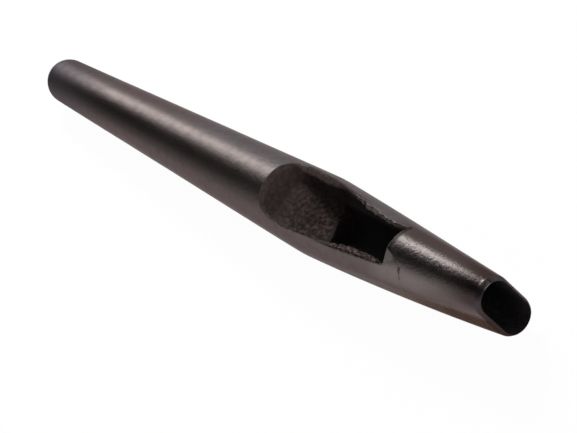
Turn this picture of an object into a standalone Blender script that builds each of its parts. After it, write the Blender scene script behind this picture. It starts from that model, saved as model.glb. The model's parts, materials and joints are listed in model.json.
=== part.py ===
"""Oval hole punch: a drive punch forged and ground from one bar of tool steel.

The blank is a loft along the tool's own axis, from the struck crown at x = 0 to the cutting edge:
a domed head, a round shank that widens to the belly, and a tip that is ground thinner on its two
sides until it is an oval tube. An oval bore enters at the cutting edge, and a pocket scooped into
the top opens that bore, so that the cut slugs fall out.

The finished tool lies on its shank with the pocket up. Metres, +X towards the cutting edge, +Z up.
"""
import math

import bmesh
import bpy

MM = 0.001

# Forged blank
TOOL_LENGTH = 133.5 * MM
CROWN_DIAMETER = 3.0 * MM
DOME_LENGTH = 4.0 * MM
HEAD_DIAMETER = 8.5 * MM
BELLY_DIAMETER = 13.1 * MM

# Ground tip, from the belly to the cutting edge
TIP_LENGTH = 42.8 * MM
TIP_SIDE_BULGE = 0.26 * MM
MOUTH_WIDTH = 5.0 * MM
MOUTH_HEIGHT = 10.4 * MM
TUBE_WALL = 0.5 * MM
EDGE_BEVEL = 0.7 * MM
EDGE_LAND = 0.12 * MM

# Oval bore
TUBE_LENGTH = 20.0 * MM
BORE_FLARE = 0.5 * MM
BORE_OVERRUN = 0.5 * MM

# Slug pocket, from the ledge at the back of the tube to its rear rim
POCKET_LENGTH = 32.3 * MM
POCKET_SIDE_WALL = 1.2 * MM
POCKET_SIDE_BULGE = 0.1 * MM
POCKET_END_LENGTH = 5.8 * MM
LEDGE_CLEARANCE = 0.2 * MM
LEDGE_SILL = 2.0 * MM
RAMP_LENGTH = 11.3 * MM
RAMP_LIP_DEPTH = 2.8 * MM
RAMP_SCOOP = 0.4 * MM
RAMP_FOOT_DROP = 2.0 * MM

# Exponents of the pocket's rounded ends and floor: 2 is an ellipse, more is squarer
POCKET_END_SQUARENESS = 3.5
POCKET_FLOOR_SQUARENESS = 4.0

# How far a cutter stands out of the metal
CUT_MARGIN = 1.0 * MM

# Facets; the lowest one is as wide as a few others, so that the round tool lies still on it
BODY_SIDES = 64
REST_FACETS = 3
BORE_SIDES = 48
POCKET_ARC_STEPS = 20
DOME_STEPS = 7
SHANK_STEPS = 5
TIP_STEPS = 12
BORE_STEPS = 5
POCKET_END_ANGLES = (4, 14, 26, 40, 56, 74)
RAMP_STEPS = 3
WELL_STEPS = 7
SHARP_ANGLE = math.radians(35)

# Finish
STEEL_COLOUR = (0.16, 0.145, 0.14, 1.0)
STEEL_ROUGHNESS = 0.38

# Stations along the tool's axis
BELLY_X = TOOL_LENGTH - TIP_LENGTH
BEVEL_X = TOOL_LENGTH - EDGE_BEVEL
LEDGE_X = TOOL_LENGTH - TUBE_LENGTH
POCKET_REAR_X = LEDGE_X - POCKET_LENGTH
POCKET_WIDEST_X = POCKET_REAR_X + POCKET_END_LENGTH
RAMP_FOOT_X = POCKET_REAR_X + RAMP_LENGTH
BORE_END_X = RAMP_FOOT_X - BORE_OVERRUN


def blend(start, end, share):
    """The value that lies a share of the way from start to end."""
    return start + (end - start) * share


def bowed(start, end, share, bulge):
    """As blend, standing out by the bulge halfway along."""
    return blend(start, end, share) + 4 * bulge * share * (1 - share)


def rounded(value, power):
    """A signed power, which makes a superellipse of a circle's sine and cosine."""
    return math.copysign(abs(value) ** power, value)


def shank_radius(x):
    """Radius of the straight cone from the head to the belly."""
    share = (x - DOME_LENGTH) / (BELLY_X - DOME_LENGTH)
    return blend(HEAD_DIAMETER, BELLY_DIAMETER, share) / 2


def tip_section(x):
    """Half width and half height of the tip, from the belly to the bevel of the cutting edge."""
    share = (x - BELLY_X) / (BEVEL_X - BELLY_X)
    belly = BELLY_DIAMETER / 2
    half_width = bowed(belly, MOUTH_WIDTH / 2 + TUBE_WALL, share, TIP_SIDE_BULGE)
    return half_width, blend(belly, MOUTH_HEIGHT / 2 + TUBE_WALL, share)


def bore_half_width(x):
    """The bore widens steadily from the cutting edge, so that slugs slide back freely."""
    return MOUTH_WIDTH / 2 + BORE_FLARE * (TOOL_LENGTH - x) / TUBE_LENGTH


def oval_ring(x, half_width, half_height, sides, lowest=1):
    """Two half circles and the flats between them. Its lowest facet is as wide as several others."""
    flat = half_height - half_width
    ring = []
    for side in range(sides - lowest + 1):
        angle = 2 * math.pi * (side + lowest / 2) / sides
        up = -math.cos(angle)
        ring.append((x, half_width * math.sin(angle), half_width * up + math.copysign(flat, up)))
    return ring


def blank_rings():
    """Sections of the blank: flat crown, domed head, conical shank, tip, bevelled edge."""
    rings = []
    crown_angle = math.asin(CROWN_DIAMETER / HEAD_DIAMETER)
    for step in range(DOME_STEPS):
        angle = blend(crown_angle, math.pi / 2, step / DOME_STEPS)
        x = DOME_LENGTH * (1 - math.cos(angle) / math.cos(crown_angle))
        radius = HEAD_DIAMETER / 2 * math.sin(angle)
        rings.append(oval_ring(x, radius, radius, BODY_SIDES, REST_FACETS))
    for step in range(SHANK_STEPS):
        x = blend(DOME_LENGTH, BELLY_X, step / SHANK_STEPS)
        radius = shank_radius(x)
        rings.append(oval_ring(x, radius, radius, BODY_SIDES, REST_FACETS))
    for step in range(TIP_STEPS + 1):
        x = blend(BELLY_X, BEVEL_X, step / TIP_STEPS)
        rings.append(oval_ring(x, *tip_section(x), BODY_SIDES, REST_FACETS))
    half_width, half_height = MOUTH_WIDTH / 2 + EDGE_LAND, MOUTH_HEIGHT / 2 + EDGE_LAND
    rings.append(oval_ring(TOOL_LENGTH, half_width, half_height, BODY_SIDES, REST_FACETS))
    return rings


def bore_rings():
    """Sections of the bore, from its blind end under the ramp's foot out past the cutting edge."""
    rings = []
    for step in range(BORE_STEPS + 1):
        x = blend(BORE_END_X, TOOL_LENGTH + CUT_MARGIN, step / BORE_STEPS)
        rings.append(oval_ring(x, bore_half_width(x), MOUTH_HEIGHT / 2, BORE_SIDES))
    return rings


def pocket_half_width(x):
    """The sides close in steadily from the pocket's widest place to the ledge."""
    widest = BELLY_DIAMETER / 2 - POCKET_SIDE_WALL
    at_ledge = bore_half_width(LEDGE_X) + LEDGE_CLEARANCE
    share = (x - POCKET_WIDEST_X) / (LEDGE_X - POCKET_WIDEST_X)
    return bowed(widest, at_ledge, share, POCKET_SIDE_BULGE)


def pocket_floor(x):
    """Height of the scooped ramp, and past its foot of the line where the sides meet the bore."""
    if x > RAMP_FOOT_X:
        return blend(-RAMP_FOOT_DROP, LEDGE_SILL, (x - RAMP_FOOT_X) / (LEDGE_X - RAMP_FOOT_X))
    lip = shank_radius(POCKET_REAR_X) - RAMP_LIP_DEPTH
    return bowed(lip, -RAMP_FOOT_DROP, (x - POCKET_REAR_X) / RAMP_LENGTH, -RAMP_SCOOP)


def pocket_stations():
    """Each station along the pocket with its half width, rounded off at the rear end."""
    widest = pocket_half_width(POCKET_WIDEST_X)
    power = 2 / POCKET_END_SQUARENESS
    for degrees in POCKET_END_ANGLES:
        angle = math.radians(degrees)
        x = POCKET_WIDEST_X - POCKET_END_LENGTH * rounded(math.cos(angle), power)
        yield x, widest * rounded(math.sin(angle), power)
    for step in range(RAMP_STEPS):
        x = blend(POCKET_WIDEST_X, RAMP_FOOT_X, step / RAMP_STEPS)
        yield x, pocket_half_width(x)
    for step in range(WELL_STEPS + 1):
        x = blend(RAMP_FOOT_X, LEDGE_X, step / WELL_STEPS)
        yield x, pocket_half_width(x)


def pocket_rings():
    """U-shaped sections that hang from a plane above the belly."""
    top = BELLY_DIAMETER / 2 + CUT_MARGIN
    power = 2 / POCKET_FLOOR_SQUARENESS
    rings = []
    for x, half_width in pocket_stations():
        depth = top - pocket_floor(x)
        ring = []
        for step in range(POCKET_ARC_STEPS + 1):
            angle = math.pi * step / POCKET_ARC_STEPS
            across = half_width * rounded(math.cos(angle), power)
            down = depth * rounded(math.sin(angle), power)
            ring.append((x, across, top - down))
        rings.append(ring)
    return rings


def loft(name, rings, collection):
    """A closed solid through rings of equal count, with flat ends."""
    shape = bmesh.new()
    loops = []
    for ring in rings:
        loops.append([shape.verts.new(point) for point in ring])
    for loop, following in zip(loops, loops[1:]):
        for index in range(len(loop)):
            shape.faces.new((loop[index - 1], loop[index], following[index], following[index - 1]))
    shape.faces.new(loops[0])
    shape.faces.new(loops[-1])
    bmesh.ops.recalc_face_normals(shape, faces=shape.faces)
    mesh = bpy.data.meshes.new(name)
    shape.to_mesh(mesh)
    shape.free()
    solid = bpy.data.objects.new(name, mesh)
    collection.objects.link(solid)
    return solid


def forged_steel():
    """Dark satin tool steel, as it comes from hardening and polishing."""
    material = bpy.data.materials.new("forged_steel")
    material.use_nodes = True
    shader = material.node_tree.nodes["Principled BSDF"]
    shader.inputs["Base Color"].default_value = STEEL_COLOUR
    shader.inputs["Metallic"].default_value = 1.0
    shader.inputs["Roughness"].default_value = STEEL_ROUGHNESS
    return material


def cut(body, cutter):
    """Take the cutter's shape out of the body."""
    cutter.hide_render = True
    cutter.display_type = 'WIRE'
    difference = body.modifiers.new("cut_" + cutter.name, 'BOOLEAN')
    difference.operation = 'DIFFERENCE'
    difference.object = cutter


def lying_axis(collection):
    """An empty along the tool's axis, raised and tipped so that the shank lies along the ground."""
    apothem = math.cos(math.pi * REST_FACETS / BODY_SIDES)
    rise = (BELLY_DIAMETER - HEAD_DIAMETER) / 2 * apothem
    tilt = math.atan2(rise, BELLY_X - DOME_LENGTH)
    reach = [x * math.cos(tilt) - z * math.sin(tilt) for ring in blank_rings() for x, _, z in ring]
    axis = bpy.data.objects.new("tool_axis", None)
    axis.rotation_euler = (0, -tilt, 0)
    axis.location.x = -(min(reach) + max(reach)) / 2
    axis.location.z = HEAD_DIAMETER / 2 * apothem * math.cos(tilt) - DOME_LENGTH * math.sin(tilt)
    collection.objects.link(axis)
    return axis


def main():
    for thing in list(bpy.data.objects):
        bpy.data.objects.remove(thing)
    parts = bpy.data.collections.new("oval_hole_punch")
    cutters = bpy.data.collections.new("cutters")
    bpy.context.scene.collection.children.link(parts)
    bpy.context.scene.collection.children.link(cutters)

    body = loft("punch_body", blank_rings(), parts)
    bore = loft("oval_bore", bore_rings(), cutters)
    pocket = loft("slug_pocket", pocket_rings(), cutters)
    cut(body, bore)
    cut(body, pocket)
    body.data.materials.append(forged_steel())
    body.data.shade_smooth()
    body.data.set_sharp_from_angle(angle=SHARP_ANGLE)

    axis = lying_axis(parts)
    for solid in (body, bore, pocket):
        solid.parent = axis


main()
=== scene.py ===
# %% [markdown]
# # An oval hole punch, dressed in Blender
# The tool is a drive punch: it is stood on leather and struck. It is one forging, so this lesson
# makes one piece: a dark satin steel body with a scooped pocket and a hollow oval tip.
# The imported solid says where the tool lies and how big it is. Nothing here moves or resizes it.

# %% Load the frame
import json
import math
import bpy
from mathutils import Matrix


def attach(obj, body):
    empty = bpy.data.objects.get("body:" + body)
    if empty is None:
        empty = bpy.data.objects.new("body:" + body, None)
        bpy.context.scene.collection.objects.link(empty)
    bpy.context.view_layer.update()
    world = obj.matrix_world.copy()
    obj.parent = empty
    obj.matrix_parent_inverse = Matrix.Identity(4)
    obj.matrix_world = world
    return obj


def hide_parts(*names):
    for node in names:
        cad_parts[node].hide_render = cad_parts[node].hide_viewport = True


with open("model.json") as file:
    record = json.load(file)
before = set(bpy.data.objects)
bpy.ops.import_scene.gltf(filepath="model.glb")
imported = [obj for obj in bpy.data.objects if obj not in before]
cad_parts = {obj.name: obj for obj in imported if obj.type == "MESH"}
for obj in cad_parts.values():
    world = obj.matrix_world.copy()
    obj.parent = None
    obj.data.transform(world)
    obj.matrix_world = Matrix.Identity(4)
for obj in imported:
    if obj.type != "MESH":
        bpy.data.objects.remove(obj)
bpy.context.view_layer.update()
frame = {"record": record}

from types import SimpleNamespace

import bmesh
import bpy
import numpy as np
from mathutils import Matrix, Quaternion, Vector

# %% [markdown]
# ## The tool's own axis
# It is easier to think along the tool than along the table: x runs from the struck crown to the
# cutting edge, z out of the pocket. The record's only mount is the crown, with its place and its
# direction, so a matrix from the tool's terms to the table's comes from that mount alone.

# %% Axis of the tool
MM = 0.001

crown = next(mount for mount in frame["record"]["mounts"] if mount["name"] == "struck_face")
along = -Vector(crown["axis"]).normalized()
sideways = Vector((0, 1, 0))
upwards = along.cross(sideways)
TOOL_TO_TABLE = Matrix((along, sideways, upwards)).transposed().to_4x4()
TOOL_TO_TABLE.translation = Vector(crown["pos_m"])
print("crown at", tuple(round(v, 5) for v in TOOL_TO_TABLE.translation))

# %% [markdown]
# ## The camera
# The camera looks down on the cutting end from a hand's length above the table, with a long lens,
# and its frame is turned so that the tool falls from upper left to lower right. The field of view
# is a choice, because the tool alone doesn't settle it. For that field, place, aim and turn were
# fitted to the outline, the ledge and the mouth, so they are given in the tool's own terms.

# %% Camera
def add_to_scene(name, data):
    thing = bpy.data.objects.new(name, data)
    bpy.context.scene.collection.objects.link(thing)
    return thing


CAMERA_PLACE = Vector((306.51, -32.75, 174.04)) * MM
CAMERA_AIM = Vector((83.387, -2.838, 0.0)) * MM
CAMERA_ROLL = math.radians(-49.353)
CAMERA_FIELD = math.radians(18)
NEAREST_SEEN = 10 * MM


def add_camera():
    """A camera at its place, aimed and then rolled about its own line of sight."""
    lens = bpy.data.cameras.new("photo_camera")
    lens.sensor_fit = 'HORIZONTAL'
    lens.angle = CAMERA_FIELD
    lens.clip_start = NEAREST_SEEN
    camera = add_to_scene("photo_camera", lens)
    sight = (CAMERA_AIM - CAMERA_PLACE).to_track_quat('-Z', 'Y').to_matrix().to_4x4()
    sight = Matrix.Translation(CAMERA_PLACE) @ sight @ Matrix.Rotation(CAMERA_ROLL, 4, 'Z')
    camera.matrix_world = TOOL_TO_TABLE @ sight
    bpy.context.scene.camera = camera
    return camera


camera = add_camera()
print("camera at", tuple(round(v, 4) for v in camera.location), "lens", round(camera.data.lens, 1), "mm")

# %% [markdown]
# ## Sums that build nodes
# Node trees are sums drawn as boxes. Written one box at a time they are long, so this small class
# wraps a socket and adds a Math node for every +, -, *, / or **. The same Python rule can then be
# worked out with plain numbers, or handed sockets to become part of a tree.

# %% Field helper
def feed(slot, value):
    """Link a field to a node's input, or set the input's own value."""
    if isinstance(value, Field):
        value.tree.links.new(value.socket, slot)
    else:
        slot.default_value = value


class Field:
    """A node's output that can stand in a sum."""

    def __init__(self, socket):
        self.socket = socket
        self.tree = socket.id_data

    def math(self, operation, *values):
        node = self.tree.nodes.new("ShaderNodeMath")
        node.operation = operation
        for slot, value in zip(node.inputs, values):
            feed(slot, value)
        return Field(node.outputs[0])

    def __abs__(self):
        return self.math('ABSOLUTE', self)

    def at_least(self, other):
        return self.math('MAXIMUM', self, other)

    def at_most(self, other):
        return self.math('MINIMUM', self, other)


# Python calls __add__ for field + number, and __radd__ for number + field
OPERATORS = {"add": 'ADD', "sub": 'SUBTRACT', "mul": 'MULTIPLY', "truediv": 'DIVIDE', "pow": 'POWER'}
for name, operation in OPERATORS.items():
    setattr(Field, f"__{name}__", lambda own, other, kind=operation: own.math(kind, own, other))
    setattr(Field, f"__r{name}__", lambda own, other, kind=operation: own.math(kind, other, own))


def new_node(tree, kind, settings=None, **inputs):
    """A node with its properties and inputs set; input names have _ for a space."""
    node = tree.nodes.new(kind)
    for name, value in (settings or {}).items():
        setattr(node, name, value)
    for name, value in inputs.items():
        feed(node.inputs[name.replace("_", " ")], value)
    return node


def field_from(tree, kind, settings=None, output=0, **inputs):
    """What a new node gives, as a field."""
    return Field(new_node(tree, kind, settings, **inputs).outputs[output])


def axes(tree, vector):
    split = new_node(tree, "ShaderNodeSeparateXYZ", Vector=vector)
    return [Field(split.outputs[axis]) for axis in "XYZ"]


print("field helper ready")

# %% [markdown]
# ## How the forging is shaped
# A smith draws the shank out as a plain cone, rounds the head over, and grinds the tip's two sides
# in until it is an oval tube: two half circles with flats between them. The cutting edge is
# bevelled from the outside. These are the solid's own sizes, two small roundings that it lacks,
# and the rules that join them.

# %% Sizes and section rules
TOOL_LENGTH = 133.5 * MM
CROWN_DIAMETER = 3.0 * MM
DOME_LENGTH = 4.0 * MM
HEAD_DIAMETER = 8.5 * MM
BELLY_DIAMETER = 13.1 * MM
TIP_LENGTH = 42.8 * MM
BELLY_X = TOOL_LENGTH - TIP_LENGTH
BELLY_ROUNDING = 0.1 * MM
TIP_SIDE_BULGE = 0.26 * MM
MOUTH_WIDTH = 5.0 * MM
MOUTH_HEIGHT = 10.4 * MM
TUBE_WALL = 0.5 * MM
EDGE_LAND = 0.12 * MM
EDGE_BEVEL = 0.7 * MM
BEVEL_X = TOOL_LENGTH - EDGE_BEVEL
BEVEL_ROUNDING = 0.04 * MM
NEVER_ZERO = 0.00001


def blend(start, end, share):
    return start + (end - start) * share


def bowed(start, end, share, bulge):
    return blend(start, end, share) + 4 * bulge * share * (1 - share)


def soft_min(first, second, rounding):
    """The smaller of two values, with the corner between them rounded."""
    return (first + second - ((first - second) ** 2 + rounding ** 2) ** 0.5) / 2


def soft_max(first, second, rounding):
    return (first + second + ((first - second) ** 2 + rounding ** 2) ** 0.5) / 2


def larger(value, limit):
    return value.at_least(limit) if isinstance(value, Field) else np.maximum(value, limit)


def smaller(value, limit):
    return value.at_most(limit) if isinstance(value, Field) else np.minimum(value, limit)


def skin_sizes(x):
    """Half width and half height of the outside at x, for numbers or for fields."""
    cone = blend(HEAD_DIAMETER, BELLY_DIAMETER, (x - DOME_LENGTH) / (BELLY_X - DOME_LENGTH)) / 2
    share = (x - BELLY_X) / (BEVEL_X - BELLY_X)
    sides = bowed(BELLY_DIAMETER / 2, MOUTH_WIDTH / 2 + TUBE_WALL, share, TIP_SIDE_BULGE)
    top = blend(BELLY_DIAMETER / 2, MOUTH_HEIGHT / 2 + TUBE_WALL, share)
    bevel = EDGE_LAND + (TOOL_LENGTH - x) * (TUBE_WALL - EDGE_LAND) / EDGE_BEVEL
    half_width = soft_min(cone, sides, BELLY_ROUNDING)
    half_height = soft_min(cone, top, BELLY_ROUNDING)
    return (soft_min(half_width, MOUTH_WIDTH / 2 + bevel, BEVEL_ROUNDING),
            soft_min(half_height, MOUTH_HEIGHT / 2 + bevel, BEVEL_ROUNDING))


def oval_reach(across, up, half_width, half_height):
    """How far a flat-sided oval lies from its middle, in the direction across and up."""
    flat = larger(half_height - half_width, 0.0)
    side = smaller(half_width / larger(abs(across), NEVER_ZERO), flat / larger(abs(up), NEVER_ZERO))
    end = flat * abs(up) + larger(half_width ** 2 - (flat * across) ** 2, 0.0) ** 0.5
    return larger(side, end)


for name, x in (("head", DOME_LENGTH), ("belly", BELLY_X), ("tube", BEVEL_X), ("edge", TOOL_LENGTH)):
    print(name, "half width and half height, mm:", [round(float(size) / MM, 3) for size in skin_sizes(x)])

# %% [markdown]
# ## The slug pocket
# A slot is scooped into the top, from a blunt rear end down a ramp to the bore. It has steep
# walls, a ramp that falls towards the foot, and a ledge where the tube starts. The rim is where
# the slot's walls meet the outside, so it is found by trying: the wall leans in a little
# with depth, and repeated substitution settles where it comes out.

# %% Pocket outline
TUBE_LENGTH = 20.0 * MM
BORE_FLARE = 0.5 * MM
LEDGE_X = TOOL_LENGTH - TUBE_LENGTH
POCKET_LENGTH = 32.3 * MM
POCKET_END_LENGTH = 5.8 * MM
POCKET_REAR_X = LEDGE_X - POCKET_LENGTH
POCKET_WIDEST_X = POCKET_REAR_X + POCKET_END_LENGTH
POCKET_WIDEST = 5.35 * MM
POCKET_SIDE_BULGE = 0.1 * MM
LEDGE_CLEARANCE = 0.2 * MM
LEDGE_SILL = 2.0 * MM
POCKET_END_SQUARENESS = 3.5
POCKET_WALL_SQUARENESS = 4.0
RAMP_LENGTH = 11.3 * MM
RAMP_FOOT_X = POCKET_REAR_X + RAMP_LENGTH
RAMP_LIP = 3.5 * MM
RAMP_FOOT_DROP = 2.0 * MM
RAMP_SCOOP = 0.4 * MM
BORE_OVERRUN = 0.5 * MM
BORE_END_X = RAMP_FOOT_X - BORE_OVERRUN
CUT_MARGIN = 1.0 * MM
SLOT_TOP = BELLY_DIAMETER / 2 + CUT_MARGIN
OUTLINE_SAMPLES = 1500
RIM_ROUNDS = 30


def bore_half_width(x):
    return MOUTH_WIDTH / 2 + BORE_FLARE * (TOOL_LENGTH - x) / TUBE_LENGTH


def pocket_floor(x):
    """Height of the ramp, and past its foot of the line where the walls meet the bore."""
    fall = (x - POCKET_REAR_X) / (RAMP_FOOT_X - POCKET_REAR_X)
    ramp = bowed(RAMP_LIP, -RAMP_FOOT_DROP, fall, -RAMP_SCOOP)
    well = blend(-RAMP_FOOT_DROP, LEDGE_SILL, (x - RAMP_FOOT_X) / (LEDGE_X - RAMP_FOOT_X))
    return np.where(x > RAMP_FOOT_X, well, ramp)


def pocket_outline():
    """The slot's plan on the +y side: from the ledge along the side, and round the rear end."""
    x = np.linspace(LEDGE_X, POCKET_WIDEST_X, OUTLINE_SAMPLES)
    share = (x - POCKET_WIDEST_X) / (LEDGE_X - POCKET_WIDEST_X)
    y = bowed(POCKET_WIDEST, bore_half_width(LEDGE_X) + LEDGE_CLEARANCE, share, POCKET_SIDE_BULGE)
    angle = np.linspace(np.pi / 2, 0, OUTLINE_SAMPLES)[1:]
    power = 2 / POCKET_END_SQUARENESS
    end_x = POCKET_WIDEST_X - (POCKET_WIDEST_X - POCKET_REAR_X) * np.abs(np.cos(angle)) ** power
    end_y = POCKET_WIDEST * np.abs(np.sin(angle)) ** power
    return np.concatenate((x, end_x)), np.concatenate((y, end_y))


def skin_height(x, y):
    half_width, half_height = skin_sizes(x)
    return half_height - half_width + np.sqrt(np.maximum(half_width ** 2 - y ** 2, 0))


def wall_lean(x, z):
    """Share of the slot's full width that is left at height z."""
    depth = np.clip((SLOT_TOP - z) / (SLOT_TOP - pocket_floor(x)), 0, 1)
    return (1 - depth ** POCKET_WALL_SQUARENESS) ** (1 / POCKET_WALL_SQUARENESS)


outline_x, outline_y = pocket_outline()
rim_y = outline_y
for _ in range(RIM_ROUNDS):
    rim_y = outline_y * wall_lean(outline_x, skin_height(outline_x, rim_y))
print("rim: rear at", round(outline_x.min() / MM, 2), "mm, widest", round(2 * rim_y.max() / MM, 2), "mm")

# %% [markdown]
# ## A sheet of quads
# A Boolean would leave long thin faces round the rim, and satin steel shows every one of them.
# So the body is one sheet of quads, laid out like a tailor's pattern in five patches: the shank,
# the belly's underside, a band of loops round the pocket's rim that goes on down its walls, the
# pocket's inside, and the tube with its bore. Neighbouring patches share their edge points.
# First comes the loop of rim points that the band and the pocket hang on. Towards the ledge both
# rims carry a lip: metal pushed over the edge, which on the far side has torn. Nearer the rear the
# far wall has a broad shoulder. Points crowd together at the ramp's foot and at the ledge.

# %% Rim loop
LEDGE_COLUMNS = 40
SIDE_COLUMNS = 190
REAR_COLUMNS = 96
LIP_FROM_X = 94.0 * MM
LIP_FULL_X = 106.0 * MM
FAR_CREST = 0.5 * MM
FAR_LIP = 0.62 * MM
FAR_SHOULDER = 1.5 * MM
SHOULDER_FROM_X = 81.5 * MM
SHOULDER_FULL_X = 85.5 * MM
SHOULDER_END_X = 98.0 * MM
SHOULDER_END_LENGTH = 8 * MM
NEAR_LIP = 1.08 * MM
NEAR_RAGGED = 0.06 * MM
LIP_PAST_LEDGE = 0.3 * MM
LIP_END_LENGTH = 4.5 * MM
TEAR_LENGTH = 0.45 * MM
TEAR_FINE = 0.6
TEAR_COARSE = 0.4
TEAR_DEPTH = 0.9
KNOT_SHIFT = 0.4
CROWD_REACH = 0.6 * MM
CROWD_BEFORE_FOOT = 0.4 * MM
CROWD_ON_RAMP = 0.6
CROWD_AT_FOOT = 3.0
CROWD_AT_LEDGE = 1.5
SEED = 7

chance = np.random.default_rng(SEED)


def spaced(weights, count):
    """Places of count + 1 points along a run of samples, closer where weights are larger."""
    steps = np.concatenate(([0.0], np.cumsum((weights[1:] + weights[:-1]) / 2)))
    return np.interp(np.linspace(0, steps[-1], count + 1), steps, np.arange(len(weights)))


def pick(values, places):
    return np.interp(places, np.arange(len(values)), values)


def smooth_step(share):
    share = np.clip(share, 0, 1)
    return share * share * (3 - 2 * share)


def rim_stations():
    """Points of the rim from ledge to rear corner, and from there to the rear's middle."""
    corner = OUTLINE_SAMPLES + OUTLINE_SAMPLES // 2
    step = np.hypot(np.gradient(outline_x), np.gradient(rim_y))
    near_foot = np.exp(-((outline_x - RAMP_FOOT_X + CROWD_BEFORE_FOOT) / CROWD_REACH) ** 2)
    near_ledge = np.exp(-((outline_x - LEDGE_X) / CROWD_REACH) ** 2)
    on_ramp = outline_x < RAMP_FOOT_X
    crowd = 1 + CROWD_ON_RAMP * on_ramp + CROWD_AT_FOOT * near_foot + CROWD_AT_LEDGE * near_ledge
    weight = step * crowd
    side = spaced(weight[:corner + 1], SIDE_COLUMNS)
    rear = corner + spaced(step[corner:], REAR_COLUMNS // 2)
    return side, rear


def torn(x, length):
    """A ragged line along x, from -1 to 1, with steps of about the given length."""
    knots = np.arange(POCKET_REAR_X, LEDGE_X + length, length)
    knots = knots + chance.uniform(-KNOT_SHIFT, KNOT_SHIFT, len(knots)) * length
    return np.interp(x, knots, chance.uniform(-1, 1, len(knots)))


def swell(x):
    """How full the lips are: they grow along the pocket and die out before the ledge."""
    rise = smooth_step((x - LIP_FROM_X) / (LIP_FULL_X - LIP_FROM_X))
    return rise * smooth_step((LEDGE_X + LIP_PAST_LEDGE - x) / LIP_END_LENGTH)


def shoulder(x):
    """How full the far wall's shoulder is: from near the rear to where the lip starts."""
    rise = smooth_step((x - SHOULDER_FROM_X) / (SHOULDER_FULL_X - SHOULDER_FROM_X))
    return rise * smooth_step((SHOULDER_END_X - x) / SHOULDER_END_LENGTH)


def tears(x):
    """Fine tears on coarse ones. Every call draws new ones."""
    return TEAR_FINE * torn(x, TEAR_LENGTH) + TEAR_COARSE * torn(x, 3 * TEAR_LENGTH)


def round_the_rim(ledge, far, rear, near, sign):
    """Values along the ledge, up the far side, round the rear and, times sign, down the near side."""
    there = (ledge[:LEDGE_COLUMNS], far[:-1], rear[:-1])
    back = (sign * rear[:0:-1], sign * near[:0:-1])
    return np.concatenate(there + back)


side_at, rear_at = rim_stations()
side_x, side_y = pick(outline_x, side_at), pick(rim_y, side_at)
rear_x, rear_y = pick(outline_x, rear_at), pick(rim_y, rear_at)
ledge_y = np.linspace(-side_y[0], side_y[0], LEDGE_COLUMNS + 1)
far_y = side_y - FAR_CREST * swell(side_x) * (1 + TEAR_DEPTH * tears(side_x))
near_y = side_y + NEAR_RAGGED * tears(side_x) * smooth_step((LEDGE_X - side_x) / MM)
loop_x = round_the_rim(np.full(LEDGE_COLUMNS, LEDGE_X), side_x, rear_x, side_x, 1)
loop_y = round_the_rim(ledge_y, far_y, rear_y, near_y, -1)
loop_z = skin_height(loop_x, loop_y)
crest_lean = round((side_y - far_y).max() / MM, 2)
print("rim loop of", len(loop_x), "points; the far crest leans", crest_lean, "mm over")

# %% [markdown]
# ## The pocket's walls and the bore
# Each rim point has a foot: the place where its wall ends. Along the sides the feet run down to the
# bore, under the ledge they are the bore's own top, and at the rear they lie on the ramp's lip.

# %% Feet of the walls
WALL_AT_WIDEST = 2.3 * MM
REAR_INSET = 0.3 * MM
INSET_BLEND = 2 * MM
LIP_RISE = (RAMP_LIP - WALL_AT_WIDEST) / (POCKET_WIDEST_X - POCKET_REAR_X)


def foot_height(x):
    before = blend(0.0, WALL_AT_WIDEST, (LEDGE_X - x) / (LEDGE_X - POCKET_WIDEST_X))
    return np.where(x > POCKET_WIDEST_X, before, WALL_AT_WIDEST + (POCKET_WIDEST_X - x) * LIP_RISE)


def around_axis(x, far, turn):
    """Points at a distance from the tool's axis, at angles from its top."""
    return np.stack(np.broadcast_arrays(x, far * np.sin(turn), far * np.cos(turn)), axis=-1)


def bore_ring(x, turn):
    far = oval_reach(np.sin(turn), np.cos(turn), bore_half_width(x), MOUTH_HEIGHT / 2)
    return around_axis(x, far, turn)


def wall_feet():
    """The foot of each rim point, square to the smooth outline under it."""
    y = round_the_rim(ledge_y, side_y, rear_y, side_y, -1)
    run_x = np.roll(loop_x, -1) - np.roll(loop_x, 1)
    run_y = np.roll(y, -1) - np.roll(y, 1)
    height = foot_height(loop_x)
    slot = np.abs(y) * wall_lean(loop_x, height) / wall_lean(loop_x, skin_height(loop_x, y))
    narrowed = np.abs(y) - np.maximum(slot, bore_half_width(loop_x))
    share = np.clip((loop_x - POCKET_WIDEST_X) / INSET_BLEND, 0, 1)
    inset = blend(REAR_INSET, np.maximum(narrowed, 0.0), share) / np.hypot(run_x, run_y)
    feet = np.stack((loop_x - inset * run_y, y + inset * run_x, height), axis=-1)
    upper_half = np.linspace(-np.pi / 2, np.pi / 2, LEDGE_COLUMNS + 1)
    feet[:LEDGE_COLUMNS + 1] = bore_ring(LEDGE_X, upper_half)
    return feet


feet = wall_feet()
print("wall feet from", round(feet[:, 2].min() / MM, 2), "to", round(feet[:, 2].max() / MM, 2), "mm high")

# %% [markdown]
# ## Patches of the outside
# The outside starts as a plain tube of one radius. A node tree gives it its shape afterwards, so
# its points only need their place along the tool and their turn about it. Each point also gets
# values that the nodes read: whether it is skin, how hollow its place is, how far the rim is,
# and where an edge is rounded, a burr raised or a file has been.

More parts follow.
